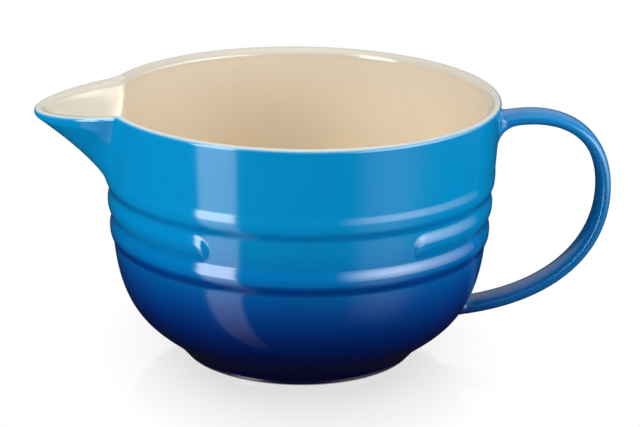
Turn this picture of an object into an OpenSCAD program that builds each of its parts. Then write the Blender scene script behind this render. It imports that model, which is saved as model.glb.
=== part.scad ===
// Stoneware batter bowl: a deep ribbed bowl with a pouring beak on the left (-X) and a strap handle
// on the right (+X). The plain field in the middle rib faces the front (-Y). The origin is on the table,
// halfway between the beak's tip and the back of the strap, and the bowl's own axis stands beside it.
// Nothing moves. The clay pieces are luted together with slip, and two coats of glaze cover them.

/* [Bowl] */
// Outer diameter of the rim
rim_d = 200; // [184:1:216]
// Height of the rim above the table
bowl_h = 133; // [124:1:145]
// Thickness of the wall
wall = 6; // [5:0.5:7.5]
// Thickness of the floor
floor_t = 7; // [5:0.5:9]
// How far the wall draws in from the rim down to the lowest groove
waist_in = 5.7; // [4.5:0.1:9]

/* [Foot] */
// Outer diameter of the foot ring
foot_d = 118; // [108:1:126]
// Width of the foot ring
foot_w = 7; // [5:0.5:9]
// Depth of the hollow under the foot
foot_hollow = 3; // [2:0.25:4]
// Height of the foot ring that stays free of glaze
bare_h = 0.8; // [0.5:0.1:1.6]

/* [Ribs] */
// Depth of the top rib's crest below the rim
rib_drop = 40; // [36:0.2:44]
// Distance from crest to crest
rib_pitch = 13.9; // [12:0.1:15]
// How far a rib stands out of the wall
rib_h = 1.4; // [0.8:0.1:2.2]
// Width of the plain field that interrupts the middle rib
field_w = 98; // [70:1:120]

/* [Spout] */
// How far the tip of the beak stands out beyond the rim
spout_out = 33; // [24:1:42]
// Width of the beak at the rim
spout_w = 74; // [62:1:84]
// Width of the beak where it leaves the wall below
spout_foot_w = 49; // [40:1:56]
// Depth of the beak below the rim
spout_depth = 40; // [36:1:46]
// How far the tip lies below the rim
spout_drop = 5.5; // [2:0.5:9]

/* [Handle] */
// How far the strap stands out beyond the rim
handle_out = 58.6; // [48:0.2:70]
// Width of the strap
strap_w = 18; // [15:0.5:23]
// Thickness of the strap
strap_t = 7; // [6:0.2:8.6]
// Depth of the upper root's middle below the rim
upper_root_drop = 15; // [13:0.5:19]
// Height of the lower root's middle above the table
lower_root_z = 19; // [17:0.5:25]
// Depth of the strap's outermost point below the rim
handle_mid_drop = 51; // [43:1:59]

/* [Glaze and slip] */
// Thickness of a coat of glaze
glaze_t = 0.4; // [0.3:0.05:0.6]
// Thickness of the slip in a joint
slip_t = 0.8; // [0.6:0.1:1.2]

/* [Hidden] */

// Roundness of revolved forms, and the steps of curves
smooth = 96;
curve_steps = 16;
rib_steps = 12;
round_steps = 6;

// One overrun serves all cuts
overrun = wall / 3;

rim_r = rim_d / 2;
waist_r = rim_r - waist_in;
foot_r = foot_d / 2;
spout_reach = rim_r + spout_out;
handle_reach = rim_r + handle_out;

// Everything is drawn about the bowl's own axis and then moved so that the origin is halfway along
module from_axis() {
    translate([(spout_reach - handle_reach) / 2, 0, 0])
        children();
}

rim_outer_round = wall / 3;
rim_inner_round = wall - rim_outer_round;

// The foot ring stands straight, then a small step leads into the curve of the body
foot_straight_share = 0.6;
foot_step_share = 0.29;
foot_step_z = foot_hollow;
foot_step_r = foot_r + foot_w * foot_step_share;

// Heights along the wall
rib_count = 3;
top_rib_z = bowl_h - rib_drop;
middle_rib_z = top_rib_z - rib_pitch;
low_rib_z = middle_rib_z - rib_pitch;
groove_z = low_rib_z - rib_pitch / 2;
shoulder_z = top_rib_z + rib_pitch / 2;
// Between the waist and the rim the grooves lean out, and the wall above the top rib stands proud of them
top_groove_share = 0.347;
shoulder_share = 0.68;
top_groove_r = waist_r + (rim_r - waist_r) * top_groove_share;
shoulder_r = waist_r + (rim_r - waist_r) * shoulder_share;
// How square a rib's crest is: 1 is a plain wave, more is a broader crest and a tighter groove
crest_power = 1.5;

// The curve of the body between the foot step and the waist, as shares of its height and spread
body_low_share = [0.3, 0.235];
body_high_share = [0.875, 0.24];

// Points of a cubic curve
function cubic(a, b, c, d, t) =
    a * pow(1 - t, 3) + b * 3 * pow(1 - t, 2) * t + c * 3 * (1 - t) * t * t + d * pow(t, 3);
function clamp(x) = min(1, max(0, x));
// The larger of a and b with a hollow fillet of reach k where they meet
function blend_max(a, b, k) = max(a, b) + pow(max(0, k - abs(a - b)), 2) / (4 * k);

// Height of a rib above its grooves, u pitches away from its crest
function rib_wave(u) = abs(u) >= 0.5 ? 0 : 1 - pow((1 - cos(360 * u)) / 2, crest_power);
function groove_r(z) =
    waist_r + (top_groove_r - waist_r) * (z - groove_z) / (rib_pitch * (rib_count - 1));
function plain_r(z) =
    z >= shoulder_z
        ? shoulder_r + (rim_r - shoulder_r) * (z - shoulder_z) / (bowl_h - rim_outer_round - shoulder_z)
    : z >= top_rib_z ? groove_r(z) + (shoulder_r - groove_r(shoulder_z))
        * (1 - rib_wave((z - top_rib_z) / rib_pitch))
    : groove_r(z);
function ribbed_r(z) =
    plain_r(z) + rib_h * rib_wave((z - low_rib_z) / rib_pitch) + rib_h * rib_wave((z - top_rib_z) / rib_pitch);

// Outer profile from the foot to the rim, with the field of the middle rib left plain
function body_curve() = [
    for (i = [0 : curve_steps])
        cubic([foot_step_r, foot_step_z],
              [foot_step_r + (waist_r - foot_step_r) * body_low_share[0],
               foot_step_z + (groove_z - foot_step_z) * body_low_share[1]],
              [foot_step_r + (waist_r - foot_step_r) * body_high_share[0],
               foot_step_z + (groove_z - foot_step_z) * body_high_share[1]],
              [waist_r, groove_z], i / curve_steps)
];
wall_zs = concat(
    [for (i = [1 : rib_steps]) groove_z + rib_pitch * i / rib_steps],
    [for (i = [1 : rib_steps]) top_rib_z - rib_pitch / 2 + rib_pitch * i / rib_steps],
    [(shoulder_z + bowl_h) / 2]
);
// The rim's outer round, from its foot to the crest, or short of the crest by a few steps
function rim_arc(inset, short = 0) = [
    for (i = [0 : round_steps - short])
        let (a = 90 * i / round_steps)
        [rim_r - rim_outer_round + (rim_outer_round - inset) * cos(a),
         bowl_h - rim_outer_round + (rim_outer_round - inset) * sin(a)]
];
function outer_profile(inset) = concat(
    [[foot_r - inset, 0], [foot_r - inset, foot_step_z * foot_straight_share]],
    [for (p = body_curve()) [p[0] - inset, p[1]]],
    [for (z = wall_zs) [ribbed_r(z) - inset, z]],
    rim_arc(inset)
);

// Inner profile from the centre of the floor to the rim
inner_floor_z = foot_hollow + floor_t;
inner_floor_r = foot_r - foot_w * 2;
inner_waist_r = waist_r - wall;
inner_low_share = [0.62, 0];
inner_high_share = [0.98, 0.42];
function inner_r(z) =
    inner_waist_r
    + (rim_r - wall - inner_waist_r) * (z - groove_z) / (bowl_h - rim_inner_round - groove_z);
function inner_profile(grow, short = 0) = concat(
    [for (i = [0 : curve_steps])
        cubic([inner_floor_r + grow, inner_floor_z - grow],
              [inner_floor_r + (inner_waist_r - inner_floor_r) * inner_low_share[0] + grow,
               inner_floor_z - grow],
              [inner_floor_r + (inner_waist_r - inner_floor_r) * inner_high_share[0] + grow,
               inner_floor_z + (groove_z - inner_floor_z) * inner_high_share[1]],
              [inner_waist_r + grow, groove_z], i / curve_steps)],
    [for (i = [0 : round_steps - short])
        let (a = 90 * i / round_steps)
        [rim_r - rim_outer_round - (rim_inner_round - grow) * cos(a),
         bowl_h - rim_inner_round + (rim_inner_round - grow) * sin(a)]]
);

// Solid of the whole bowl inside its outer surface, drawn back by inset
module bowl_form(inset) {
    rotate_extrude($fn = smooth)
        polygon(concat([[0, 0]], outer_profile(inset), [[0, bowl_h - inset]]));
    middle_rib(inset);
}

// The middle rib runs round the back and ends in two round noses beside the plain field at the front
field_half = asin(field_w / 2 / groove_r(middle_rib_z));
rib_root = rib_h;
// Share of its height by which the rib's two edges dip under the wall
rib_edge_share = 0.06;
function sunk_wave(u) = rib_wave(u) * (1 + rib_edge_share) - rib_edge_share;
nose_r = rib_pitch / 2;
nose_angle = nose_r / waist_r * 180 / PI;
// A ball of this radius, sunk in the wall, is as wide as the nose at the wall and just clears the crest
nose_crown_share = 1.25;
nose_crown = rib_h * nose_crown_share;
ball_r = (nose_r * nose_r + nose_crown * nose_crown) / (2 * nose_crown);
module middle_rib(inset) {
    crest_r = groove_r(middle_rib_z);
    difference() {
        rotate([0, 0, field_half - 90])
            rotate_extrude(angle = 360 - 2 * field_half, $fn = smooth)
                polygon(concat(
                    [for (i = [0 : rib_steps])
                        let (z = middle_rib_z + (i / rib_steps - 0.5) * rib_pitch)
                        [groove_r(z) + rib_h * sunk_wave((z - middle_rib_z) / rib_pitch) - inset, z]],
                    [[groove_r(middle_rib_z + rib_pitch / 2) - rib_root - inset, middle_rib_z + rib_pitch / 2],
                     [groove_r(middle_rib_z - rib_pitch / 2) - rib_root - inset, middle_rib_z - rib_pitch / 2]]));
        for (side = [-1, 1])
            rotate([0, 0, side * (field_half + nose_angle) - 90])
                difference() {
                    translate([waist_r - wall, side > 0 ? -2 * nose_r : 0, middle_rib_z - nose_r - overrun])
                        cube([rim_r - waist_r + wall, 2 * nose_r, 2 * (nose_r + overrun)]);
                    translate([crest_r + nose_crown - ball_r, 0, middle_rib_z])
                        sphere(r = ball_r - inset, $fn = smooth);
                }
    }
}

// Clay of the whole bowl, without the coats of glaze
module bowl_shell() {
    rotate_extrude($fn = smooth)
        polygon(concat([[0, 0]], outer_profile(glaze_t), reversed(inner_profile(glaze_t, 1)),
                       [[0, inner_floor_z - glaze_t]]));
    middle_rib(glaze_t);
}

// The beak stands in a notch of the wall, from the groove under the top rib up to the rim. Seen from
// above, its outline is the wall's radius plus a swelling that dies out at the crease beside it.
spout_foot_z = bowl_h - spout_depth;
spout_fillet = wall;
nose_blend = wall / 4;
least_blend = wall / 100;
tip_under_z = bowl_h - spout_drop - rim_outer_round - nose_blend;
notch_z = top_rib_z - rib_pitch / 2;
rim_crease = asin(spout_w / rim_d);
notch_share = 1.3;
notch_half = rim_crease * notch_share;
nose_round_share = 0.06;
nose_power = 1.5;
flank_power = 0.85;
widening_power = 1.3;
keel_bow_share = 0.21;
keel_thick_share = 0.4;
spout_columns = 24;
spout_levels = 15;
lip_steps = 4;

// Height along the beak: 0 where it leaves the wall, 1 under the tip
function spout_rise(z) = (z - spout_foot_z) / (tip_under_z - spout_foot_z);
function keel_r(z) =
    let (u = spout_rise(z), foot = ribbed_r(spout_foot_z))
    -blend_max(-spout_reach,
               -(foot + (spout_reach - foot) * u * (1 - keel_bow_share + keel_bow_share * max(0, u))),
               nose_blend);
function half_width(z) =
    (spout_foot_w + (spout_w - spout_foot_w)
        * pow(clamp((z - spout_foot_z) / spout_depth), widening_power)) / 2;
// Swelling across the beak: 1 at the nose, 0 at the crease, negative beyond it
function swelling(u) =
    let (v = 1 - pow(sqrt(u * u + nose_round_share * nose_round_share) - nose_round_share, nose_power))
    sign(v) * pow(abs(v), flank_power);
function swollen(reach, u) = blend_max(0, reach * swelling(u), max(least_blend, min(spout_fillet, reach / 2)));
function beak_outer(angle, z) =
    let (reach = blend_max(0, keel_r(z) - ribbed_r(z), spout_fillet / 2))
    ribbed_r(z) + swollen(reach, abs(angle) / asin(half_width(z) / ribbed_r(z)));
function beak_inner(angle, z) =
    let (thick = wall * (1 + keel_thick_share * (1 - clamp(spout_rise(z)))),
         reach = blend_max(0, keel_r(z) - thick - inner_r(z), spout_fillet / 2))
    inner_r(z) + swollen(reach, abs(angle) / asin((half_width(z) - wall) / inner_r(z)));
// The rim falls along the beak towards its tip
function beak_rim_z(angle) = bowl_h - spout_drop * max(0, swelling(abs(angle) / rim_crease));

// One section of the beak's outside as [radius, z], from the notch's floor to the foot of the rim's round
function beak_outside(angle, inset, floor_z) = [
    for (i = [0 : spout_levels])
        let (z = floor_z + (beak_rim_z(angle) - rim_outer_round - floor_z) * i / spout_levels)
        [beak_outer(angle, z) - inset, z]
];
// The rim's outer round up to the crest, the crest left out
function beak_outer_lip(angle, inset) = [
    for (i = [1 : lip_steps - 1])
        let (a = 90 * i / lip_steps, z = beak_rim_z(angle) - rim_outer_round)
        [beak_outer(angle, z) - rim_outer_round + (rim_outer_round - inset) * cos(a),
         z + (rim_outer_round - inset) * sin(a)]
];
// The rim's inner round down from the crest, and the channel's side down to the notch's floor
function beak_inside(angle, grow, floor_z) = concat(
    [for (i = [0 : lip_steps - 1])
        let (a = 90 - 90 * i / lip_steps, z = beak_rim_z(angle) - rim_inner_round)
        [beak_inner(angle, z) + rim_inner_round - (rim_inner_round - grow) * cos(a),
         z + (rim_inner_round - grow) * sin(a)]],
    [for (i = [0 : spout_levels])
        let (z = beak_rim_z(angle) - rim_inner_round
                 + (floor_z - beak_rim_z(angle) + rim_inner_round) * i / spout_levels)
        [beak_inner(angle, z) + grow, z]]
);
function reversed(list) = [for (i = [len(list) - 1 : -1 : 0]) list[i]];

// Solid through closed rings of points, with flat ends, or endless where the last ring meets the first.
// Each patch is folded along its shorter diagonal, so that a coat fits the clay under it.
module loft(rings, endless = false) {
    points = [for (ring = rings) for (point = ring) point];
    cols = len(rings[0]);
    count = len(points);
    function folded(a, b, c, d) =
        norm(points[a] - points[d]) < norm(points[b] - points[c]) ? [[a, c, d], [a, d, b]] : [[a, c, b], [b, c, d]];
    faces = concat(
        endless ? [] : [[for (j = [0 : cols - 1]) j], [for (j = [0 : cols - 1]) count - 1 - j]],
        [for (i = [0 : len(rings) - (endless ? 1 : 2)])
            for (j = [0 : cols - 1])
                let (a = i * cols + j, b = i * cols + (j + 1) % cols)
                for (f = folded(a, b, (a + cols) % count, (b + cols) % count))
                    f]);
    polyhedron(points, faces);
}
// Angles of the beak's sections, between the two layers of slip
slip_angle = slip_t / rim_r * 180 / PI;
beak_angles = [for (j = [0 : spout_columns]) (notch_half - slip_angle) * (1 - 2 * j / spout_columns)];
function placed(section, angle) =
    [for (point = section) [-point[0] * cos(angle), point[0] * sin(angle), point[1]]];

// The notch in the wall, drawn in by a layer of slip
module notch(slip) {
    half = notch_half - slip_angle * slip / slip_t;
    far = rim_d;
    translate([0, 0, notch_z + slip])
        linear_extrude(bowl_h)
            polygon([[0, 0], [-far * cos(half), far * sin(half)], [-far * cos(half), -far * sin(half)]]);
}

// The handle is swept along two cubic curves that meet at its outermost point
upper_root_z = bowl_h - upper_root_drop;
handle_mid_z = bowl_h - handle_mid_drop;
strap_squareness = 2.5;
strap_sides = 18;
strap_steps = 18;
root_sink_share = 0.55;
root_sink = wall * root_sink_share;
strap_x = handle_reach - strap_t / 2;
body_table = [for (p = body_curve()) [p[1], p[0]]];
upper_root_x = ribbed_r(upper_root_z) - root_sink;
lower_root_x = lookup(lower_root_z, body_table) - root_sink;
upper_rise = upper_root_z - handle_mid_z;
lower_fall = handle_mid_z - lower_root_z;
upper_low_share = [0.63, 0.28];
upper_high_share = 0.83;
lower_high_share = 0.525;
lower_low_share = [0.655, 0.062];
function strap_centre(t) = t < 1
    ? cubic([upper_root_x, upper_root_z],
            [upper_root_x + (strap_x - upper_root_x) * upper_low_share[0],
             upper_root_z + upper_rise * upper_low_share[1]],
            [strap_x, handle_mid_z + upper_rise * upper_high_share],
            [strap_x, handle_mid_z], t)
    : cubic([strap_x, handle_mid_z],
            [strap_x, handle_mid_z - lower_fall * lower_high_share],
            [lower_root_x + (strap_x - lower_root_x) * lower_low_share[0],
             lower_root_z + lower_fall * lower_low_share[1]],
            [lower_root_x, lower_root_z], t - 1);

// Quarter-round fillet of radius reach, at a distance from the face that it runs into, and how far the
// fillets of the two roots reach as shares of the strap's thickness
function fillet(distance, reach) = reach * (1 - sqrt(1 - pow(1 - clamp(distance / reach), 2)));
upper_inner_share = 1.45;
upper_outer_share = 0.75;
lower_inner_share = 0.8;
lower_outer_share = 0.7;
side_share = 0.65;
function power(x, e) = sign(x) * pow(abs(x), e);

// Sections of the strap inside its surface, drawn back by inset
function strap_rings(inset) =
    let (step = 1 / strap_steps / 4)
    [for (i = [0 : 2 * strap_steps])
            let (t = i / strap_steps,
                 c = strap_centre(t),
                 d = strap_centre(min(2, t + step)) - strap_centre(max(0, t - step)),
                 n = [-d[1], d[0]] / norm(d),
                 upper = norm(c - strap_centre(0)) - root_sink,
                 lower = norm(c - strap_centre(2)) - root_sink,
                 outward = strap_t / 2 - inset + fillet(upper, strap_t * upper_outer_share)
                     + fillet(lower, strap_t * lower_outer_share),
                 inward = strap_t / 2 - inset + fillet(upper, strap_t * upper_inner_share)
                     + fillet(lower, strap_t * lower_inner_share),
                 across = strap_w / 2 - inset + fillet(upper, strap_t * side_share)
                     + fillet(lower, strap_t * side_share))
            [for (j = [0 : strap_sides - 1])
                let (a = 360 * j / strap_sides,
                     v = power(sin(a), 2 / strap_squareness),
                     off = v > 0 ? v * outward : v * inward)
                [c[0] + n[0] * off, across * power(cos(a), 2 / strap_squareness), c[1] + n[1] * off]]
    ];
module handle_form(inset) {
    loft(strap_rings(inset));
}

// Clay shell, with the notch for the beak and the hollow under the foot
module bowl() {
    color("antiquewhite")
        from_axis() difference() {
            bowl_shell();
            notch(0);
            translate([0, 0, -overrun])
                cylinder(r = foot_r - foot_w, h = foot_hollow + overrun, $fn = smooth);
        }
}

// Clay beak with the stretch of wall on either side of its channel
module spout() {
    floor_z = notch_z + slip_t;
    color("linen")
        from_axis() loft([for (angle = beak_angles)
            placed(concat(beak_outside(angle, glaze_t, floor_z), beak_outer_lip(angle, glaze_t),
                          beak_inside(angle, glaze_t, floor_z)), angle)]);
}

// Slip in the notch, down one side of the beak, under it and up the other side
module spout_joint() {
    color("wheat")
        from_axis() difference() {
            intersection() {
                bowl_shell();
                notch(0);
            }
            notch(slip_t);
        }
}

// Clay strap, cut to the wall that it is luted on
module handle() {
    color("bisque")
        from_axis() difference() {
            handle_form(glaze_t);
            bowl_form(glaze_t - slip_t);
        }
}

// Slip between one end of the strap and the wall
module handle_joint(low_z, high_z) {
    color("wheat")
        from_axis() difference() {
            intersection() {
                handle_form(glaze_t);
                bowl_form(glaze_t - slip_t);
                translate([0, -rim_r, low_z])
                    cube([rim_d, rim_d, high_z - low_z]);
            }
            bowl_form(glaze_t);
        }
}
module upper_handle_joint() {
    handle_joint(handle_mid_z, bowl_h);
}
module lower_handle_joint() {
    handle_joint(0, handle_mid_z);
}

// Blue coat on the bowl, from the bare foot up to the rim, open where the beak and the strap stand
module bowl_outer_glaze() {
    coat_top = bowl_h - rim_outer_round;
    color("deepskyblue")
        from_axis() difference() {
            bowl_form(0);
            bowl_form(glaze_t);
            notch(slip_t);
            handle_form(0);
            translate([0, 0, -overrun])
                cylinder(r = rim_r, h = bare_h + overrun, $fn = smooth);
            rotate_extrude($fn = smooth)
                polygon([[0, coat_top - wall], [rim_r - wall, coat_top - wall],
                         [rim_r + overrun, coat_top + overrun], [rim_r + overrun, bowl_h + overrun],
                         [0, bowl_h + overrun]]);
        }
}

// Cream coat over the floor, the inside of the wall and the rim
module bowl_inner_glaze() {
    color("blanchedalmond")
        from_axis() difference() {
            rotate_extrude($fn = smooth)
                polygon(concat([[0, inner_floor_z]], inner_profile(0), reversed(rim_arc(0, 1)),
                               rim_arc(glaze_t, 1), reversed(inner_profile(glaze_t)),
                               [[0, inner_floor_z - glaze_t]]));
            notch(slip_t);
        }
}

// Blue coat on the outside of the beak
module spout_outer_glaze() {
    floor_z = notch_z + slip_t;
    color("deepskyblue")
        from_axis() loft([for (angle = beak_angles)
            placed(concat(beak_outside(angle, 0, floor_z),
                          reversed(beak_outside(angle, glaze_t, floor_z))), angle)]);
}

// Cream coat over the beak's rim and down its channel
module spout_inner_glaze() {
    floor_z = notch_z + slip_t;
    color("blanchedalmond")
        from_axis() loft([for (angle = beak_angles)
            let (foot_of_lip = [for (inset = [0, glaze_t]) beak_outside(angle, inset, floor_z)[spout_levels]])
            placed(concat([foot_of_lip[0]], beak_outer_lip(angle, 0), beak_inside(angle, 0, floor_z),
                          reversed(beak_inside(angle, glaze_t, floor_z)),
                          reversed(beak_outer_lip(angle, glaze_t)), [foot_of_lip[1]]), angle)]);
}

// Blue coat round the strap, down to the clay of the wall
module handle_glaze() {
    color("deepskyblue")
        from_axis() difference() {
            loft(concat(strap_rings(0), reversed(strap_rings(glaze_t))), endless = true);
            bowl_form(glaze_t);
        }
}

bowl();
spout();
spout_joint();
handle();
upper_handle_joint();
lower_handle_joint();
bowl_outer_glaze();
bowl_inner_glaze();
spout_outer_glaze();
spout_inner_glaze();
handle_glaze();
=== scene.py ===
import math
import bmesh
import bpy
from mathutils import Matrix, Vector


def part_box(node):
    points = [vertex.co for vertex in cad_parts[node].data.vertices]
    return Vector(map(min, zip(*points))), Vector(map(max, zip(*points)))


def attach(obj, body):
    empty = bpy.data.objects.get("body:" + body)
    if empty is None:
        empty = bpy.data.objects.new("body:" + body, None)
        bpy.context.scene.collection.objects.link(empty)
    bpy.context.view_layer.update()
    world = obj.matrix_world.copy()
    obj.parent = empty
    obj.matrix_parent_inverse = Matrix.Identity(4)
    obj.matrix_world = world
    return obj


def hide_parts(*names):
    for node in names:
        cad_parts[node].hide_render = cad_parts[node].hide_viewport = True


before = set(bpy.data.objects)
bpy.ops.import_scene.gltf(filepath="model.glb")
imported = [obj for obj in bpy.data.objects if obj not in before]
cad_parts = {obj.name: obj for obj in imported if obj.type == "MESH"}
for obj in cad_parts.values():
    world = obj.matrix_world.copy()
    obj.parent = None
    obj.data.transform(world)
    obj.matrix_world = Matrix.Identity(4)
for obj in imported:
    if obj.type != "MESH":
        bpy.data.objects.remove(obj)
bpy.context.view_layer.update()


# The bowl is a thick stoneware wall on a low foot ring, thrown and turned, with three raised ribs round it.
# Its clay stays as the CAD made it, and so does the slip that lutes the beak and the strap on. Only the foot
# shows it bare, under the ring and in the hollow. The ring's edge has a wash of the glaze that was wiped off.
class Socket:
    """One output of a material's nodes. Sums with it add Math nodes."""

    def __init__(self, tree, output=None):
        self.tree = tree
        self.output = output

    def node(self, kind, settings=None, inputs=None, take=0):
        """A new node of that kind, with its settings set first, and the output that is asked for."""
        made = self.tree.nodes.new(kind)
        for key, value in (settings or {}).items():
            if key == "stops":
                ramp = made.color_ramp.elements
                while len(ramp) > 1:
                    ramp.remove(ramp[-1])
                ramp[0].position, ramp[0].color = value[0]
                for place, shade in value[1:]:
                    ramp.new(place).color = shade
            else:
                setattr(made, key, value)
        for key, value in (inputs or {}).items():
            if isinstance(value, Socket):
                self.tree.links.new(value.output, made.inputs[key])
            else:
                made.inputs[key].default_value = value
        return Socket(self.tree, made.outputs[take] if len(made.outputs) else None)

    def math(self, operation, a, b=0.0):
        return self.node("ShaderNodeMath", {"operation": operation}, {0: a, 1: b})

    def __add__(self, other):
        return self.math("ADD", self, other)

    __radd__ = __add__

    def __sub__(self, other):
        return self.math("SUBTRACT", self, other)

    def __rsub__(self, other):
        return self.math("SUBTRACT", other, self)

    def __mul__(self, other):
        return self.math("MULTIPLY", self, other)

    __rmul__ = __mul__

    def __truediv__(self, other):
        return self.math("DIVIDE", self, other)

    def __rtruediv__(self, other):
        return self.math("DIVIDE", other, self)

    def held(self):
        """The value kept between 0 and 1."""
        return self.node("ShaderNodeClamp", {}, {"Value": self})

    def mix(self, first, second):
        """A colour between two others: the first where this value is 0, the second where it is 1."""
        return self.node("ShaderNodeMix", {"data_type": "RGBA"}, {0: self, 6: first, 7: second}, 2)

    def ramp(self, stops):
        """A colour that follows this value from stop to stop."""
        return self.node("ShaderNodeValToRGB", {"stops": stops}, {"Fac": self})

    def part(self, axis):
        return self.node("ShaderNodeSeparateXYZ", {}, {0: self}, axis)


def colour(red, green, blue):
    """An sRGB colour as written on a colour picker, in the linear values that Blender works in."""
    def linear(v):
        v /= 255
        return v / 12.92 if v <= 0.04045 else ((v + 0.055) / 1.055) ** 2.4
    return (linear(red), linear(green), linear(blue), 1)


def new_finish(name):
    material = bpy.data.materials.new(name)
    material.use_nodes = True
    material.node_tree.nodes.clear()
    return material, Socket(material.node_tree)


def surface(start, **inputs):
    """The finish's shader. A gap in the name of a socket is written as an underscore."""
    named = {name.replace("_", " "): value for name, value in inputs.items()}
    shader = start.node("ShaderNodeBsdfPrincipled", {}, named)
    start.node("ShaderNodeOutputMaterial", {}, {0: shader})


def stoneware():
    bare_under = 0.0001
    bare_fade = 0.0004
    wash_top = 0.003
    wash_fade = 0.001
    material, start = new_finish("bare stoneware")
    place = start.node("ShaderNodeTexCoord", {}, {}, "Object")
    grain = start.node("ShaderNodeTexNoise", {}, {"Vector": place, "Scale": 900, "Detail": 3})
    patch = start.node("ShaderNodeTexNoise", {}, {"Vector": place, "Scale": 40, "Detail": 2})
    speck = start.node("ShaderNodeTexVoronoi", {}, {"Vector": place, "Scale": 420})
    specks = (1 - speck * 7).held() * (patch * 1.4 - 0.3).held()
    clay = (patch * 0.7 + grain * 0.3).mix(colour(214, 196, 168), colour(235, 222, 199))
    specked = specks.mix(clay, colour(120, 92, 66))
    above_bare = ((place.part(2) - bare_under) / bare_fade).held()
    below_top = ((wash_top - place.part(2)) / wash_fade).held()
    fired = (above_bare * below_top).mix(specked, colour(16, 13, 42))
    bump = start.node("ShaderNodeBump", {}, {"Strength": 0.25, "Distance": 0.0004, "Height": grain})
    surface(start, Base_Color=fired, Roughness=grain * 0.15 + 0.72, Normal=bump)
    return material


def slip():
    material, start = new_finish("slip in the joints")
    place = start.node("ShaderNodeTexCoord", {}, {}, "Object")
    grain = start.node("ShaderNodeTexNoise", {}, {"Vector": place, "Scale": 500, "Detail": 2})
    fired = grain.mix(colour(201, 180, 150), colour(222, 204, 176))
    bump = start.node("ShaderNodeBump", {}, {"Strength": 0.2, "Distance": 0.0003, "Height": grain})
    surface(start, Base_Color=fired, Roughness=grain * 0.1 + 0.8, Normal=bump)
    return material


def dress(piece, finish):
    piece.data.materials.clear()
    piece.data.materials.append(finish)


stoneware_finish = stoneware()
slip_finish = slip()
dress(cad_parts["bowl"], stoneware_finish)
for joint in ("spout_joint", "upper_handle_joint", "lower_handle_joint"):
    dress(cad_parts[joint], slip_finish)


# The beak is a slab of the same clay, bent and luted with slip into a notch of the wall. Its keel runs up
# and out from the top rib, its sides close to a round nose, and its rim falls a little towards the tip.
# It grows out of the wall, so the wall's outline comes first. Angles and radii are from the bowl's axis.
lining_low, lining_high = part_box("bowl_inner_glaze")
axis_x = lining_high[0] + lining_low[1]
rim_z = lining_high[2]
rim_r = lining_high[1]
wall = 0.006
coat_t = 0.0004
waist_in = 0.0057
waist_r = rim_r - waist_in
inner_waist_r = waist_r - wall
foot_r = 0.059
foot_w = 0.007
foot_step_z = 0.003
foot_step_w = foot_w * 0.29
foot_step_r = foot_r + foot_step_w
rim_outer_round = wall / 3
rim_inner_round = wall - rim_outer_round

rib_drop = 0.0400
rib_pitch = 0.0139
rib_h = 0.0014
rib_sharpness = 1.5
top_rib_z = rim_z - rib_drop
middle_rib_z = top_rib_z - rib_pitch
low_rib_z = middle_rib_z - rib_pitch
groove_z = low_rib_z - rib_pitch / 2
shoulder_z = top_rib_z + rib_pitch / 2
top_groove_share = 0.347
shoulder_share = 0.68
top_groove_r = waist_r + waist_in * top_groove_share
shoulder_r = waist_r + waist_in * shoulder_share
body_low_shares = (0.3, 0.235)
body_high_shares = (0.875, 0.24)
body_steps = 200

spout_reach = rim_r + 0.033
spout_w = 0.074
spout_foot_w = 0.049
spout_depth = 0.040
spout_drop = 0.0055
spout_foot_z = rim_z - spout_depth
spout_fillet = wall
channel_fillet = wall * 1.5
nose_blend = wall / 4
least_blend = wall / 100
keel_bow = 0.21
spread_power = 1.3
nose_flat = 0.06
nose_power = 1.5
crease_power = 0.85
foot_thickening = 0.4
beak_rows = 40
beak_columns = 80
lip_steps = 6
tip_under_z = rim_z - spout_drop - rim_outer_round - nose_blend
slip_t = 0.0008
notch_z = top_rib_z - rib_pitch / 2
rim_crease = math.asin(spout_w / rim_r / 2)
notch_half = rim_crease * 1.3
beak_half = notch_half - slip_t / rim_r


def cubic(a, b, c, d, t):
    """A point at t on the cubic curve from a to d, drawn by b and c."""
    return [p * (1 - t) ** 3 + q * 3 * (1 - t) ** 2 * t + r * 3 * (1 - t) * t * t + s * t ** 3
            for p, q, r, s in zip(a, b, c, d)]


def blend_max(a, b, reach):
    """The larger of a and b, with a hollow fillet where they meet."""
    return max(a, b) + max(0, reach - abs(a - b)) ** 2 / (4 * reach)


def blend_min(a, b, reach):
    """The smaller of a and b, with a round where they meet."""
    return -blend_max(-a, -b, reach)


def rib_wave(u):
    """Height of a rib, u pitches from its crest, as a share of its full height."""
    return 0 if abs(u) >= 0.5 else 1 - ((1 - math.cos(2 * math.pi * u)) / 2) ** rib_sharpness


def groove_r(z):
    return waist_r + (top_groove_r - waist_r) * (z - groove_z) / (rib_pitch * 2)


def body_point(t):
    """Radius and height on the round of the body, from the foot step up to the lowest groove."""
    out = waist_r - foot_step_r
    up = groove_z - foot_step_z
    low, high = [(foot_step_r + out * across, foot_step_z + up * along)
                 for across, along in (body_low_shares, body_high_shares)]
    return cubic((foot_step_r, foot_step_z), low, high, (waist_r, groove_z), t)


body_table = [body_point(i / body_steps) for i in range(body_steps + 1)]


def body_r(z):
    for (r0, z0), (r1, z1) in zip(body_table, body_table[1:]):
        if z <= z1:
            return r0 + (r1 - r0) * (z - z0) / (z1 - z0)
    return waist_r


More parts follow.
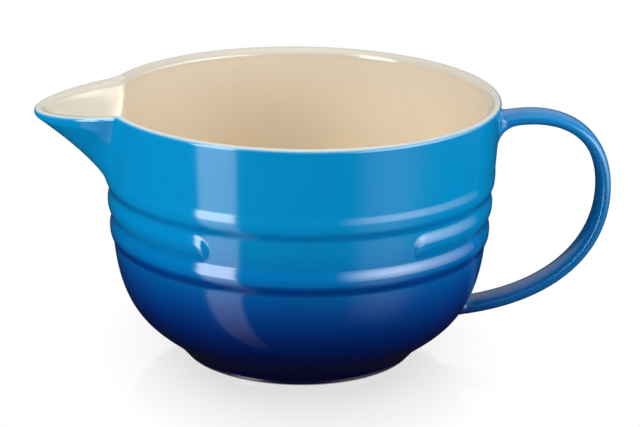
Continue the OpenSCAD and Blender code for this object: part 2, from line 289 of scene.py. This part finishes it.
def ribbed_r(z):
    """Radius of the outside at a height, with the low and the top rib."""
    if z < groove_z:
        return body_r(z)
    low = rib_h * rib_wave((z - low_rib_z) / rib_pitch)
    top = rib_h * rib_wave((z - top_rib_z) / rib_pitch)
    if z >= shoulder_z:
        plain = shoulder_r + (rim_r - shoulder_r) * (z - shoulder_z) / (rim_z - rim_outer_round - shoulder_z)
    elif z >= top_rib_z:
        swell = 1 - rib_wave((z - top_rib_z) / rib_pitch)
        plain = groove_r(z) + (shoulder_r - groove_r(shoulder_z)) * swell
    else:
        plain = groove_r(z)
    return plain + low + top


def inner_r(z):
    share = (z - groove_z) / (rim_z - rim_inner_round - groove_z)
    return inner_waist_r + (rim_r - wall - inner_waist_r) * share


def rise(z):
    """How far a height is up the beak: 0 at its foot and 1 under its tip."""
    return (z - spout_foot_z) / (tip_under_z - spout_foot_z)


def keel_r(z):
    foot = ribbed_r(spout_foot_z)
    u = rise(z)
    return blend_min(spout_reach, foot + (spout_reach - foot) * u * (1 - keel_bow + keel_bow * max(0, u)),
                     nose_blend)


def half_width(z):
    up = min(1, max(0, (z - spout_foot_z) / spout_depth))
    return (spout_foot_w + (spout_w - spout_foot_w) * up ** spread_power) / 2


def signed_power(value, power):
    return math.copysign(abs(value) ** power, value)


def swelling(u):
    """Swelling across the beak: 1 at the nose, 0 at the crease beside it and negative past that."""
    return signed_power(1 - (math.hypot(u, nose_flat) - nose_flat) ** nose_power, crease_power)


def swollen(reach, u, fillet):
    return blend_max(0, reach * swelling(u), max(least_blend, min(fillet, reach / 2)))


def beak_outer(angle, z):
    reach = blend_max(0, keel_r(z) - ribbed_r(z), spout_fillet / 2)
    crease = math.asin(half_width(z) / ribbed_r(z))
    return ribbed_r(z) + swollen(reach, abs(angle) / crease, spout_fillet)


def beak_inner(angle, z):
    thick = wall * (1 + foot_thickening * (1 - min(1, max(0, rise(z)))))
    reach = blend_max(0, keel_r(z) - thick - inner_r(z), spout_fillet / 2)
    crease = math.asin((half_width(z) - wall) / inner_r(z))
    return inner_r(z) + swollen(reach, abs(angle) / crease, channel_fillet)


def beak_rim_z(angle):
    return rim_z - spout_drop * max(0, swelling(abs(angle) / rim_crease))


def placed(angle, r, z):
    return (axis_x - r * math.cos(angle), r * math.sin(angle), z)


def beak_section(angle, skin):
    """The beak cut at an angle, and drawn in by skin: up the outside, over the rim and down the channel."""
    section = []
    bottom = notch_z + slip_t
    outer_z = beak_rim_z(angle) - rim_outer_round
    inner_z = beak_rim_z(angle) - rim_inner_round
    for i in range(beak_rows + 1):
        z = bottom + (outer_z - bottom) * i / beak_rows
        section.append(placed(angle, beak_outer(angle, z) - skin, z))
    for i in range(1, lip_steps):
        turn = math.pi / 2 * i / lip_steps
        r = beak_outer(angle, outer_z) - rim_outer_round + (rim_outer_round - skin) * math.cos(turn)
        section.append(placed(angle, r, outer_z + (rim_outer_round - skin) * math.sin(turn)))
    for i in range(lip_steps):
        turn = math.pi / 2 * (1 - i / lip_steps)
        r = beak_inner(angle, inner_z) + rim_inner_round - (rim_inner_round - skin) * math.cos(turn)
        section.append(placed(angle, r, inner_z + (rim_inner_round - skin) * math.sin(turn)))
    for i in range(beak_rows + 1):
        z = inner_z + (bottom - inner_z) * i / beak_rows
        section.append(placed(angle, beak_inner(angle, z) + skin, z))
    return section


sharp_angle = math.radians(35)


def finish_mesh(name, verts, faces):
    """A closed mesh with smooth shading, and sharp edges where its faces meet at a steep angle."""
    mesh = bpy.data.meshes.new(name)
    mesh.from_pydata(verts, [], faces)
    bm = bmesh.new()
    bm.from_mesh(mesh)
    bmesh.ops.remove_doubles(bm, verts=bm.verts, dist=1e-7)
    bmesh.ops.recalc_face_normals(bm, faces=bm.faces)
    for face in bm.faces:
        face.smooth = True
    for edge in bm.edges:
        edge.smooth = edge.calc_face_angle(0) < sharp_angle
    bm.to_mesh(mesh)
    bm.free()
    piece = bpy.data.objects.new(name, mesh)
    bpy.context.scene.collection.objects.link(piece)
    return piece


def between(low, high, count):
    """The faces between two rings of count points each, given by their first points."""
    return [(low + i, low + (i + 1) % count, high + (i + 1) % count, high + i) for i in range(count)]


def loft(name, rings):
    """A solid through closed rings of points, with a flat end at each side."""
    count = len(rings[0])
    verts = [point for ring in rings for point in ring]
    faces = [tuple(range(count)), tuple(range(len(verts) - 1, len(verts) - count - 1, -1))]
    for row in range(len(rings) - 1):
        faces += between(row * count, (row + 1) * count, count)
    return finish_mesh(name, verts, faces)


beak_angles = [beak_half * (1 - 2 * i / beak_columns) for i in range(beak_columns + 1)]
spout_clay = loft("spout_clay", [beak_section(angle, coat_t) for angle in beak_angles])
dress(spout_clay, stoneware_finish)
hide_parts("spout")
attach(spout_clay, "root")


# The handle is a pulled strap of the same clay, bent into a loop and luted on at both ends with slip. Its
# section is a flat oval, and each root swells and is smoothed into the wall with a wet finger.
strap_w = 0.018
strap_t = 0.007
strap_squareness = 2.5
strap_sides = 64
strap_rings = 160
handle_reach = rim_r + 0.05855
strap_x = handle_reach - strap_t / 2
upper_root_z = rim_z - 0.015
lower_root_z = 0.019
handle_mid_z = rim_z - 0.051
root_depth = wall * 0.55
deepest_root = wall * 0.6
upper_root_x = ribbed_r(upper_root_z) - root_depth
lower_root_x = body_r(lower_root_z) - root_depth
upper_bend_shares = (0.63, 0.28, 0.83)
lower_bend_shares = (0.655, 0.062, 0.525)
upper_fillets = (0.0060, 0.0115)
lower_fillets = (0.0055, 0.0064)
side_fillet = 0.0050


def strap_centre(t):
    """The middle of the strap, as distance from the bowl's axis and height. At t = 1 it is furthest out."""
    if t < 1:
        out, lift, bend = upper_bend_shares
        up = upper_root_z - handle_mid_z
        return Vector(cubic((upper_root_x, upper_root_z),
                            (upper_root_x + (strap_x - upper_root_x) * out, upper_root_z + up * lift),
                            (strap_x, handle_mid_z + up * bend), (strap_x, handle_mid_z), t))
    out, lift, bend = lower_bend_shares
    down = handle_mid_z - lower_root_z
    return Vector(cubic((strap_x, handle_mid_z), (strap_x, handle_mid_z - down * bend),
                        (lower_root_x + (strap_x - lower_root_x) * out, lower_root_z + down * lift),
                        (lower_root_x, lower_root_z), t - 1))


def wall_lean(z):
    """How much longer a level line through the wall is than the wall's thickness."""
    step = 0.001
    return math.hypot(1, (body_r(z + step) - body_r(z - step)) / step / 2 if z < groove_z else 0)


def off_the_wall(x, y, z):
    """Distance from the wall of a point on the handle's side, with the bowl's axis at x = 0."""
    return (math.hypot(x, y) - ribbed_r(z)) / wall_lean(z)


def strap_ring(t, skin):
    """Section of the strap, drawn in by skin. Near the wall it swells, to run into it with a fillet."""
    c = strap_centre(t)
    step = 0.01
    along = strap_centre(min(2, t + step)) - strap_centre(max(0, t - step))
    n = Vector((-along.y, along.x)).normalized()
    outer_fillet, inner_fillet = upper_fillets if t < 1 else lower_fillets
    ring = []
    for i in range(strap_sides):
        a = 2 * math.pi * i / strap_sides
        side = signed_power(math.cos(a), 2 / strap_squareness) * (strap_w / 2 - skin)
        thick = signed_power(math.sin(a), 2 / strap_squareness) * (strap_t / 2 - skin)
        out = Vector((signed_power(side / strap_w * 2, strap_squareness - 1) / strap_w,
                      signed_power(thick / strap_t * 2, strap_squareness - 1) / strap_t)).normalized()
        flatness = out.y * out.y
        reach = flatness * (outer_fillet if out.y > 0 else inner_fillet) + (1 - flatness) * side_fillet

        def spot(swell):
            deep = thick + out.y * swell
            return c.x + n.x * deep, side + out.x * swell, c.y + n.y * deep

        swell = 0
        if off_the_wall(*spot(0)) + skin < reach:
            low, high = 0.0, reach
            for _ in range(24):
                tried = (low + high) / 2
                if blend_min(tried, off_the_wall(*spot(tried)) + skin, reach) < 0:
                    low = tried
                else:
                    high = tried
            swell = high
        x, y, z = spot(swell)
        deepest_r = ribbed_r(z) - deepest_root * wall_lean(z)
        if math.hypot(x, y) < deepest_r:
            x = math.sqrt(deepest_r ** 2 - y ** 2)
        ring.append((axis_x + x, y, z))
    return ring


root_start = 0.007
clay_start, clay_end = 0.05, 1.93
strap_steps = [root_start + 2 * (1 - root_start) * i / strap_rings for i in range(strap_rings + 1)]
handle_clay = loft("handle_clay", [strap_ring(t, coat_t) for t in strap_steps if clay_start < t < clay_end])
dress(handle_clay, stoneware_finish)
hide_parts("handle")
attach(handle_clay, "root")


# The cream coat is the liner glaze. It is poured in and out again, so it lines the bowl and the channel of
# the beak and runs over the rim. On the rim's outer edge it goes thin, and the blue shows through. Between
# them runs a pale band, partly the thin overlap and partly a painted highlight. Low in the bowl it is painted
# warmer, as painted bounce light, and in the beak's channel and on the rim's crest it is painted darker, as
# painted shade.
floor_z = 0.010
floor_r = 0.045
inner_side_shares = (0.98, 0.42)
inner_floor_share = 0.62
field_w = 0.098
nose_r = rib_pitch / 2
# How far below the rim the painted shade on the rim's crest reaches.
shaded_crest_depth = 0.0035
nose_span = 0.12
fine_turn = math.radians(0.5)
coarse_turn = math.radians(1.2)
closing_turn = 0.006
outer_lip_steps = 8
inner_lip_steps = 12
channel_steps = 40
side_steps = 32
first_softened = 5
soft_rounds = 14
thinning_power = 2.8


def from_front(angle):
    """An angle from the beak, turned into one from the middle of the plain field."""
    return math.remainder(angle + math.pi / 2, 2 * math.pi)


def around():
    """Angles round the bowl, closer together over the beak and beside the plain field."""
    angles, angle = [], -math.pi
    nose = math.asin(field_w / 2 / waist_r) + nose_r / waist_r
    while angle < math.pi - closing_turn:
        angles.append(angle)
        close = abs(angle) < notch_half or abs(abs(from_front(angle)) - nose) < nose_span
        angle += fine_turn if close else coarse_turn
    return angles


angles = around()


def beaked_r(angle, z):
    """Radius of the outside with the beak, but without the middle rib."""
    return ribbed_r(z) if abs(angle) > notch_half or z < notch_z else beak_outer(angle, z)


def channel_r(angle, z):
    return beak_inner(angle, z) if abs(angle) < notch_half and z > notch_z - wall else inner_r(z)


def soften(rings, i, share):
    """Fill the hollow corner between the rim's round and the channel, at one angle of the rings."""
    for _ in range(soft_rounds):
        line = [ring[i] for ring in rings]
        for row in range(1, len(line) - 1):
            even = [(line[row - 1][k] + 2 * line[row][k] + line[row + 1][k]) / 4 for k in range(3)]
            inward = math.hypot(line[row][0] - axis_x, line[row][1]) - math.hypot(even[0] - axis_x, even[1])
            if inward > 0:
                rings[row][i] = tuple(line[row][k] + (even[k] - line[row][k]) * share for k in range(3))


def inside_rings(grow):
    """Rings of the cream coat, from the foot of the rim's round over the rim and down to the floor."""
    rings = []
    for i in range(outer_lip_steps + 1):
        turn = math.pi / 2 * i / outer_lip_steps
        ring = []
        for a in angles:
            z = beak_rim_z(a) - rim_outer_round
            r = beaked_r(a, z) - rim_outer_round + (rim_outer_round - grow) * math.cos(turn)
            ring.append(placed(a, r, z + (rim_outer_round - grow) * math.sin(turn)))
        rings.append(ring)
    for i in range(1, inner_lip_steps + 1):
        turn = math.pi / 2 * (1 - i / inner_lip_steps)
        ring = []
        for a in angles:
            z = beak_rim_z(a) - rim_inner_round
            r = channel_r(a, z) + rim_inner_round - (rim_inner_round - grow) * math.cos(turn)
            ring.append(placed(a, r, z + (rim_inner_round - grow) * math.sin(turn)))
        rings.append(ring)
    for i in range(1, channel_steps + 1):
        ring = []
        for a in angles:
            top = beak_rim_z(a) - rim_inner_round
            z = top + (groove_z - top) * i / channel_steps
            ring.append(placed(a, channel_r(a, z) + grow, z))
        rings.append(ring)
    out = inner_waist_r - floor_r
    side_out, side_up = inner_side_shares
    for i in range(1, side_steps + 1):
        r, z = cubic((inner_waist_r + grow, groove_z),
                     (floor_r + out * side_out + grow, floor_z + (groove_z - floor_z) * side_up),
                     (floor_r + out * inner_floor_share + grow, floor_z - grow),
                     (floor_r + grow, floor_z - grow), i / side_steps)
        rings.append([placed(a, r, z) for a in angles])
    for share in (0.8, 0.6, 0.4, 0.2):
        rings.append([placed(a, floor_r * share, floor_z - grow) for a in angles])
    inside_lip = rings[outer_lip_steps + first_softened:outer_lip_steps + inner_lip_steps + channel_steps]
    for i, a in enumerate(angles):
        if abs(a) < rim_crease:
            soften(inside_lip, i, min(1, 4 - 4 * abs(a) / rim_crease))
    return rings


def coat(name, outside, inside, pole=False):
    """A closed skin between two stacks of rings. With pole, each stack closes in a last point."""
    count = len(outside[0])
    half = count * len(outside)
    verts = [point for stack in (outside, inside) for ring in stack for point in ring]
    faces = []
    for start in (0, half):
        for row in range(len(outside) - 1):
            faces += between(start + row * count, start + (row + 1) * count, count)
    for row in [0] if pole else [0, len(outside) - 1]:
        faces += between(row * count, half + row * count, count)
    if pole:
        for start in (0, half):
            last = start + half - count
            centre = tuple(sum(v[k] for v in verts[last:last + count]) / count for k in range(3))
            verts.append(centre)
            faces += [(last + i, last + (i + 1) % count, len(verts) - 1) for i in range(count)]
    return finish_mesh(name, verts, faces)


def cream_glaze():
    upper_z = 0.09
    upper_fade = 0.04
    # Where the painted shade in the beak's channel begins, and how softly.
    shaded_beak_share = 0.88
    shaded_beak_fade = 0.012
    material, start = new_finish("cream glaze")
    place = start.node("ShaderNodeTexCoord", {}, {}, "Object")
    cloud = start.node("ShaderNodeTexNoise", {}, {"Vector": place, "Scale": 18, "Detail": 2})
    peel = start.node("ShaderNodeTexNoise", {}, {"Vector": place, "Scale": 160, "Detail": 1})
    # Low in the bowl the cream is painted warmer: painted bounce light from the cream walls.
    upper = ((place.part(2) + cloud * 0.02 - upper_z) / upper_fade).held()
    lining_with_bounce = upper.mix(colour(224, 206, 178), colour(217, 204, 183))
    # In the beak's channel the cream is painted darker, as painted shade.
    beak = ((axis_x - rim_r * shaded_beak_share - place.part(0)) / shaded_beak_fade).held()
    inner = beak.mix(lining_with_bounce, colour(206, 199, 185))
    # On the rim's crest it is painted darker too, as painted shade.
    crest = start.node("ShaderNodeAttribute", {"attribute_name": "crest"}, {}, "Fac")
    cream = crest.mix(inner, colour(203, 197, 182))
    outward = start.node("ShaderNodeAttribute", {"attribute_name": "outward"}, {}, "Fac")
    # Where the cream thins, a pale band leads to the blue: partly the thin overlap, partly a painted
    # highlight.
    thin_edge_with_sheen = (outward * 1.15 + (cloud - 0.5) * 0.3).held()
    blue = thin_edge_with_sheen.ramp([(0.0, colour(196, 200, 190)), (0.4, colour(160, 196, 208)),
                      (1.0, colour(20, 140, 196))])
    tint = (thin_edge_with_sheen * 2.5).held().mix(cream, blue)
    bump = start.node("ShaderNodeBump", {}, {"Strength": 0.04, "Distance": 0.0003, "Height": peel})
    surface(start, Base_Color=tint, Roughness=cloud * 0.06 + 0.10, Normal=bump)
    return material


cream_coat = coat("cream_coat", inside_rings(0), inside_rings(coat_t), pole=True)
# Per point: how far onto the rim's crest, which is painted darker as painted shade, and how far onto the
# outer edge.
crest = cream_coat.data.attributes.new("crest", "FLOAT", "POINT")
outward = cream_coat.data.attributes.new("outward", "FLOAT", "POINT")
for vertex, on_shaded_crest, on_outside in zip(cream_coat.data.vertices, crest.data, outward.data):
    way = math.atan2(vertex.co.y, axis_x - vertex.co.x)
    depth = beak_rim_z(way) - vertex.co.z
    radius = math.hypot(vertex.co.x - axis_x, vertex.co.y)
    crest_r = beaked_r(way, beak_rim_z(way) - rim_outer_round) - rim_outer_round
    on_shaded_crest.value = min(1, max(0, 1.6 - depth / shaded_crest_depth))
    on_outside.value = min(1, max(0, (radius - crest_r) / rim_outer_round)) ** thinning_power
dress(cream_coat, cream_glaze())
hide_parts("bowl_inner_glaze", "spout_inner_glaze")
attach(cream_coat, "root")


# The blue coat covers the outside of the bowl and the beak, down to the foot ring, whose edge is wiped. It
# is sprayed on, from azure at the rim to nearly black at the foot. Under the low and the top rib its colour
# is darkened, as painted shade on their downward flanks. The middle rib runs round the back and ends beside
# the plain field in two noses, as if cut by a ball.
bare_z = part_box("bowl_outer_glaze")[0][2]
nose_crown = rib_h * 1.25
nose_edge = 0.0002
foot_top = foot_step_z * 0.6
foot_rows = 3
round_rows = 40
rib_rows = 40
band_rows = 56
# Painted shade under the ribs: its depth below each crest, its half width and how much darker it is.
shade_drop = 0.0034
shade_half = 0.0032
shade_darkening = 0.12
wiped_top = 0.0036
wiped_fade = 0.0012
wiped_roughness = 0.16
glaze_heights = [
    (0.006, (8, 6, 62)), (0.013, (9, 9, 60)), (0.019, (5, 16, 66)), (0.026, (1, 26, 84)),
    (0.033, (0, 34, 99)), (0.040, (1, 48, 119)), (0.047, (0, 61, 134)), (0.054, (0, 76, 148)),
    (0.061, (0, 94, 162)), (0.070, (0, 114, 179)), (0.082, (0, 131, 191)), (0.100, (0, 140, 199)),
]


def middle_rib_h(front, z):
    """Height of the middle rib, at an angle from the middle of the plain field."""
    past_nose = math.asin(field_w / 2 / groove_r(middle_rib_z)) + nose_r / waist_r - abs(front)
    height = rib_h * rib_wave((z - middle_rib_z) / rib_pitch)
    if past_nose > 0:
        ball_r = (nose_r ** 2 + nose_crown ** 2) / (2 * nose_crown)
        ball_x = groove_r(middle_rib_z) + nose_crown - ball_r
        half_chord = ball_r ** 2 - (z - middle_rib_z) ** 2 - (ball_x * math.sin(past_nose)) ** 2
        ball_height = ball_x * math.cos(past_nose) + math.sqrt(max(0, half_chord)) - groove_r(z)
        height = max(0, blend_min(height, ball_height, nose_edge))
    return height


def wall_r(angle, z):
    """Radius of the glazed outside at an angle from the beak and a height."""
    on_middle_rib = abs(z - middle_rib_z) < rib_pitch / 2
    return beaked_r(angle, z) + (middle_rib_h(from_front(angle), z) if on_middle_rib else 0)


def outside_rings(inset):
    """Rings of the outside from the bare foot up to the foot of the rim's round."""
    rings = []
    for i in range(foot_rows + 1):
        z = bare_z + (foot_top - bare_z) * i / foot_rows
        rings.append([placed(a, foot_r - inset, z) for a in angles])
    for i in range(round_rows + 1):
        r, z = body_point(i / round_rows)
        rings.append([placed(a, r - inset, z) for a in angles])
    for i in range(1, rib_rows + 1):
        z = groove_z + (notch_z - groove_z) * i / rib_rows
        rings.append([placed(a, wall_r(a, z) - inset, z) for a in angles])
    for i in range(1, band_rows + 1):
        ring = []
        for a in angles:
            z = notch_z + (beak_rim_z(a) - rim_outer_round - notch_z) * i / band_rows
            ring.append(placed(a, wall_r(a, z) - inset, z))
        rings.append(ring)
    return rings


def blue_glaze(name, stops, ripple, least_roughness, painted_shade_heights=()):
    """Blue glaze that changes with height, darkened as painted shade in a band round each of the given
    heights.
    """
    material, start = new_finish(name)
    place = start.node("ShaderNodeTexCoord", {}, {}, "Object")
    cloud = start.node("ShaderNodeTexNoise", {}, {"Vector": place, "Scale": 22, "Detail": 2})
    peel = start.node("ShaderNodeTexNoise", {}, {"Vector": place, "Scale": 150, "Detail": 1})
    height = place.part(2) / rim_z + (cloud - 0.5) * 0.03
    # Each band darkens the colour as painted shade.
    for shade_z in painted_shade_heights:
        off = (place.part(2) - shade_z) / shade_half
        height = height - (1 - off * off).held() * shade_darkening
    tint = height.ramp([(z / rim_z, colour(*shade)) for z, shade in stops])
    wiped = ((wiped_top - place.part(2)) / wiped_fade).held()
    roughness = cloud * 0.05 + wiped * wiped_roughness + least_roughness
    bump = start.node("ShaderNodeBump", {}, {"Strength": ripple, "Distance": 0.0003, "Height": peel})
    surface(start, Base_Color=tint, Roughness=roughness, Normal=bump)
    return material


blue_coat = coat("blue_coat", outside_rings(0), outside_rings(coat_t))
# Bands of painted shade just under the low and the top rib.
painted_shade_heights = (low_rib_z - shade_drop, top_rib_z - shade_drop)
dress(blue_coat, blue_glaze("blue glaze", glaze_heights, 0.03, 0.07, painted_shade_heights))
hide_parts("bowl_outer_glaze", "spout_outer_glaze")
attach(blue_coat, "root")


# The blue coat on the strap goes all the way round it and meets the bowl's at the roots. It is the same
# glaze, graded by height, but its lower part is painted lighter than on the wall, as painted light where the
# strap's lower half is dimly lit, and it is smoother and a little less glossy.
# Heights and colours of the strap's glaze; the lower colours are painted lighter, as painted light.
strap_heights_with_painted_light = [
    (0.006, (8, 8, 44)), (0.016, (2, 40, 98)), (0.024, (0, 84, 146)), (0.040, (0, 104, 162)),
    (0.070, (0, 108, 168)), (0.110, (0, 122, 184)),
]
handle_coat = coat("handle_coat", [strap_ring(t, 0) for t in strap_steps],
                   [strap_ring(t, coat_t) for t in strap_steps])
dress(handle_coat, blue_glaze("blue glaze on the handle", strap_heights_with_painted_light, 0.006, 0.20))
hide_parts("handle_glaze")
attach(handle_coat, "root")


# The table is a white glossy board. It is greyest round the foot, where it carries the bowl's shadow and a
# faint mirror image, and fades to the white of the backdrop a hand's width away.
board_r = 1.6
board_drop = 0.0002
shadow_r = 0.078
fade = 0.078
narrowing = 1.5


def light_path(start, ray):
    return start.node("ShaderNodeLightPath", {}, {}, ray)


def board():
    material, start = new_finish("white board")
    place = start.node("ShaderNodeTexCoord", {}, {}, "Object")
    across = (place.part(0) - axis_x) * narrowing
    reach = start.math("SQRT", across * across + place.part(1) * place.part(1))
    far = ((reach - shadow_r) / fade).held()
    paint = start.node("ShaderNodeBsdfDiffuse", {}, {"Color": (0.13, 0.13, 0.13, 1)})
    lift = start.node("ShaderNodeEmission", {}, {"Color": (1, 1, 1, 1), "Strength": 0.9})
    lifted = start.node("ShaderNodeAddShader", {}, {0: paint, 1: lift})
    shine = start.node("ShaderNodeBsdfGlossy", {}, {"Roughness": 0.09})
    fresnel = start.node("ShaderNodeFresnel", {}, {"IOR": 2.3})
    near = start.node("ShaderNodeMixShader", {}, {0: fresnel, 1: lifted, 2: shine})
    white = start.node("ShaderNodeEmission", {}, {"Color": (1, 1, 1, 1), "Strength": 1.0})
    seen = start.node("ShaderNodeMixShader", {}, {0: far, 1: near, 2: white})
    bounce = start.node("ShaderNodeBsdfDiffuse", {}, {"Color": (0.6, 0.6, 0.6, 1)})
    looked_at = (light_path(start, "Is Camera Ray") + light_path(start, "Is Transmission Ray")).held()
    plain = start.node("ShaderNodeMixShader", {}, {0: looked_at, 1: bounce, 2: seen})
    clear = start.node("ShaderNodeBsdfTransparent", {}, {})
    mirrored = light_path(start, "Is Glossy Ray")
    whole = start.node("ShaderNodeMixShader", {}, {0: mirrored, 1: plain, 2: clear})
    start.node("ShaderNodeOutputMaterial", {}, {0: whole})
    return material


bpy.ops.mesh.primitive_circle_add(vertices=96, radius=board_r, fill_type="NGON", location=(0, 0, -board_drop))
floor = bpy.context.object
floor.name = "board"
dress(floor, board())


# The studio is a white room with two tall windows in front, which the glaze mirrors. The left one is sharp,
# the right one has a net curtain, and each stands on the white table, which the glaze mirrors under it.
# Places in it are in degrees: across from the front, positive to the right, and up from level.
room_strength = 0.1
left_strength = 11.5
right_strength = 10.5
table_strength = 0.8
ceiling_strength = 1.0
dark_strength = 0.01
backdrop_share = 0.7
left_across = [(-66.5, 0), (-64.5, 1), (-42.5, 1), (-40.5, 0)]
left_up = [(-75, 0), (-60, 0.024), (-45, 0.07), (-35, 0.12), (-21, 0.26), (-18, 1), (40, 1), (50, 0)]
right_across = [(18, 0), (25, 0.25), (35, 0.68), (45, 0.92), (57, 1), (68, 0.85), (80, 0.55), (95, 0.35),
                (110, 0.15), (125, 0)]
right_up = [(-19.5, 0), (-15.5, 0.4), (-5, 0.6), (8, 1), (18, 1), (30, 0.12), (60, 0)]
table_across = [(27, 0), (34, 0.5), (43, 0.85), (52, 1), (60, 0.8), (68, 0.45), (76, 0.15), (88, 0)]
table_up = [(-48, 0), (-42, 0.25), (-35, 0.6), (-28, 1), (-20, 0.75), (-15, 0)]
ceiling_up = [(40, 0), (75, 1)]


def studio():
    world = bpy.data.worlds.new("studio")
    world.use_nodes = True
    world.node_tree.nodes.clear()
    start = Socket(world.node_tree)
    way = start.node("ShaderNodeTexCoord", {}, {}, "Generated")
    azimuth = start.math("ARCTAN2", way.part(0), way.part(1) * -1) / (2 * math.pi) + 0.5
    elevation = start.math("ARCSINE", way.part(2)) / math.pi + 0.5

    def across(stops):
        return azimuth.ramp([(degrees / 360 + 0.5, (grey, grey, grey, 1)) for degrees, grey in stops])

    def up(stops):
        return elevation.ramp([(degrees / 180 + 0.5, (grey, grey, grey, 1)) for degrees, grey in stops])

    left = across(left_across) * up(left_up) * left_strength
    right = across(right_across) * up(right_up) * right_strength
    table = across(table_across) * up(table_up) * table_strength
    light = left + right + table + up(ceiling_up) * ceiling_strength + dark_strength
    room = start.node("ShaderNodeBackground", {}, {"Color": (0.95, 0.97, 1, 1), "Strength": room_strength})
    windows = start.node("ShaderNodeBackground", {}, {"Color": (1, 0.98, 0.96, 1), "Strength": light})
    white = start.node("ShaderNodeBackground", {}, {"Color": (1, 1, 1, 1), "Strength": 1.0})
    glossy = light_path(start, "Is Glossy Ray")
    backdrop = (way.part(1) * 4 - 1).held() * (way.part(2) * 10 - 1).held() * backdrop_share
    shown = light_path(start, "Is Camera Ray") + light_path(start, "Is Transmission Ray") + glossy * backdrop
    lit = start.node("ShaderNodeMixShader", {}, {0: glossy, 1: room, 2: windows})
    whole = start.node("ShaderNodeMixShader", {}, {0: shown.held(), 1: lit, 2: white})
    start.node("ShaderNodeOutputWorld", {}, {0: whole})
    bpy.context.scene.world = world


studio()


# Four softboxes light the bowl evenly: one on each side, one in front and a large one above. The glaze
# doesn't mirror them, since it mirrors the windows.
lamp_aim_z = 0.07


def softbox(name, azimuth, elevation, distance, width, height, radiance):
    """A lamp panel that faces the bowl. Azimuth is taken from the front, positive to the right."""
    lamp = bpy.data.lights.new(name, "AREA")
    lamp.shape = "RECTANGLE"
    lamp.size = width
    lamp.size_y = height
    lamp.energy = radiance * math.pi * width * height
    a, e = math.radians(azimuth), math.radians(elevation)
    way = Vector((math.sin(a) * math.cos(e), -math.cos(a) * math.cos(e), math.sin(e)))
    panel = bpy.data.objects.new(name, lamp)
    panel.location = Vector((axis_x, 0, lamp_aim_z)) + way * distance
    panel.rotation_euler = way.to_track_quat("Z", "Y").to_euler()
    panel.visible_glossy = False
    bpy.context.scene.collection.objects.link(panel)


softbox("left lamp", -70, 25, 1.2, 0.6, 0.6, 7.3)
softbox("right lamp", 75, 20, 1.2, 0.6, 0.6, 7.8)
softbox("front lamp", -10, 45, 1.2, 0.6, 0.6, 3.7)
softbox("top lamp", 0, 75, 1.1, 1.2, 1.0, 1.8)


# The camera stands where the photograph's did, a little to the left of the front, and looks 18 degrees down
# through a long lens. The lens is shifted, because the bowl isn't in the middle of the picture.
camera_distance = 1.2
camera_elevation = math.radians(18.42)
camera_azimuth = math.radians(-4)
camera_roll = math.radians(0.76)
camera_aim_z = 0.060
sensor_mm = 36
image_w = 640
focal_px = 2355
shift_px = (20.5, 19.0)

camera_data = bpy.data.cameras.new("camera")
camera_data.sensor_width = sensor_mm
camera_data.lens = focal_px / image_w * sensor_mm
camera_data.shift_x = shift_px[0] / image_w
camera_data.shift_y = shift_px[1] / image_w
camera_data.clip_end = 20
camera = bpy.data.objects.new("camera", camera_data)
back = Vector((math.sin(camera_azimuth) * math.cos(camera_elevation),
               -math.cos(camera_azimuth) * math.cos(camera_elevation), math.sin(camera_elevation)))
right = Vector((math.cos(camera_azimuth), math.sin(camera_azimuth), 0))
up = back.cross(right)
rolled_right = right * math.cos(camera_roll) + up * math.sin(camera_roll)
rolled_up = up * math.cos(camera_roll) - right * math.sin(camera_roll)
turn = Matrix((rolled_right, rolled_up, back)).transposed().to_4x4()
stand = Vector((axis_x, 0, camera_aim_z)) + back * camera_distance
camera.matrix_world = Matrix.Translation(stand) @ turn
bpy.context.scene.collection.objects.link(camera)
bpy.context.scene.camera = camera
bpy.context.scene.view_settings.view_transform = "Standard"
